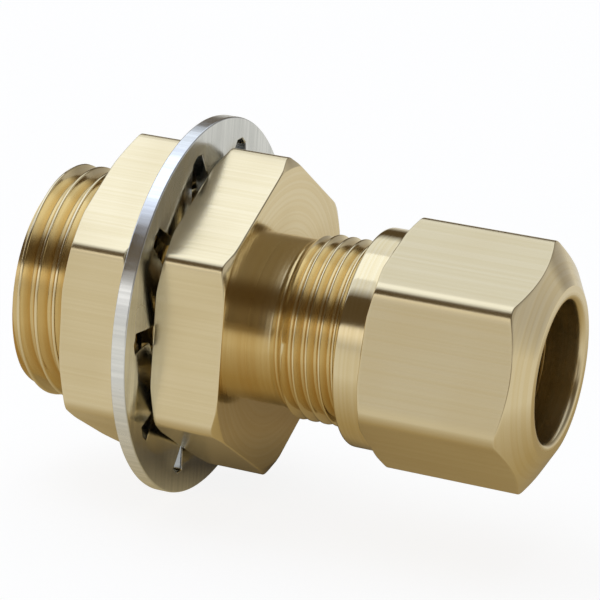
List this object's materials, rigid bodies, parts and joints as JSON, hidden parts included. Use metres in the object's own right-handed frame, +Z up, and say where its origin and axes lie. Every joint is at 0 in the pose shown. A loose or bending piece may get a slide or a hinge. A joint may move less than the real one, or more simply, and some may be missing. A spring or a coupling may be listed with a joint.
{
  "type": "bulkhead union",
  "caption": "Brass bulkhead union: hexagon body with a threaded panel shank, locknut and toothed lock washer, and a compression nut with sleeve for air-line tube.",
  "frame": {"origin": "on the fitting's axis, at the face of the body's hexagon that bears on the panel", "axes": "+X along the axis towards the tube end, +Z up, with a corner of the body's hexagon up"},
  "size_m": [0.0503, 0.0358, 0.0358],
  "materials": {
    "body_brass": "turned",
    "locknut_brass": "drawn bar",
    "sleeve_brass": "turned",
    "nut_brass": "drawn bar",
    "plated_steel": "zinc plated"
  },
  "bodies": {
    "body": {"body": "body_brass"},
    "washer": {"lock_washer": "plated_steel"},
    "locknut": {"locknut": "locknut_brass"},
    "sleeve": {"sleeve": "sleeve_brass"},
    "tube_nut": {"tube_nut": "nut_brass"}
  },
  "joints": [
    {"name": "washer_slide", "type": "slide", "parent": "body", "child": "washer", "axis": [-1, 0, 0], "range_m": [0, 0.01179]},
    {"name": "locknut_turn", "type": "hinge", "parent": "washer", "child": "locknut", "pos_m": [0, 0, 0], "axis": [-1, 0, 0], "range_deg": [0, 2340]},
    {"name": "sleeve_slide", "type": "slide", "parent": "body", "child": "sleeve", "axis": [1, 0, 0], "range_m": [0, 0.00826]},
    {"name": "tube_nut_turn", "type": "hinge", "parent": "sleeve", "child": "tube_nut", "pos_m": [0, 0, 0], "axis": [1, 0, 0], "range_deg": [0, 2340]}
  ],
  "couplings": [
    {"joint": "washer_slide", "follows": "locknut_turn", "m_per_rad": 0.00028875},
    {"joint": "sleeve_slide", "follows": "tube_nut_turn", "m_per_rad": 0.00020213}
  ]
}
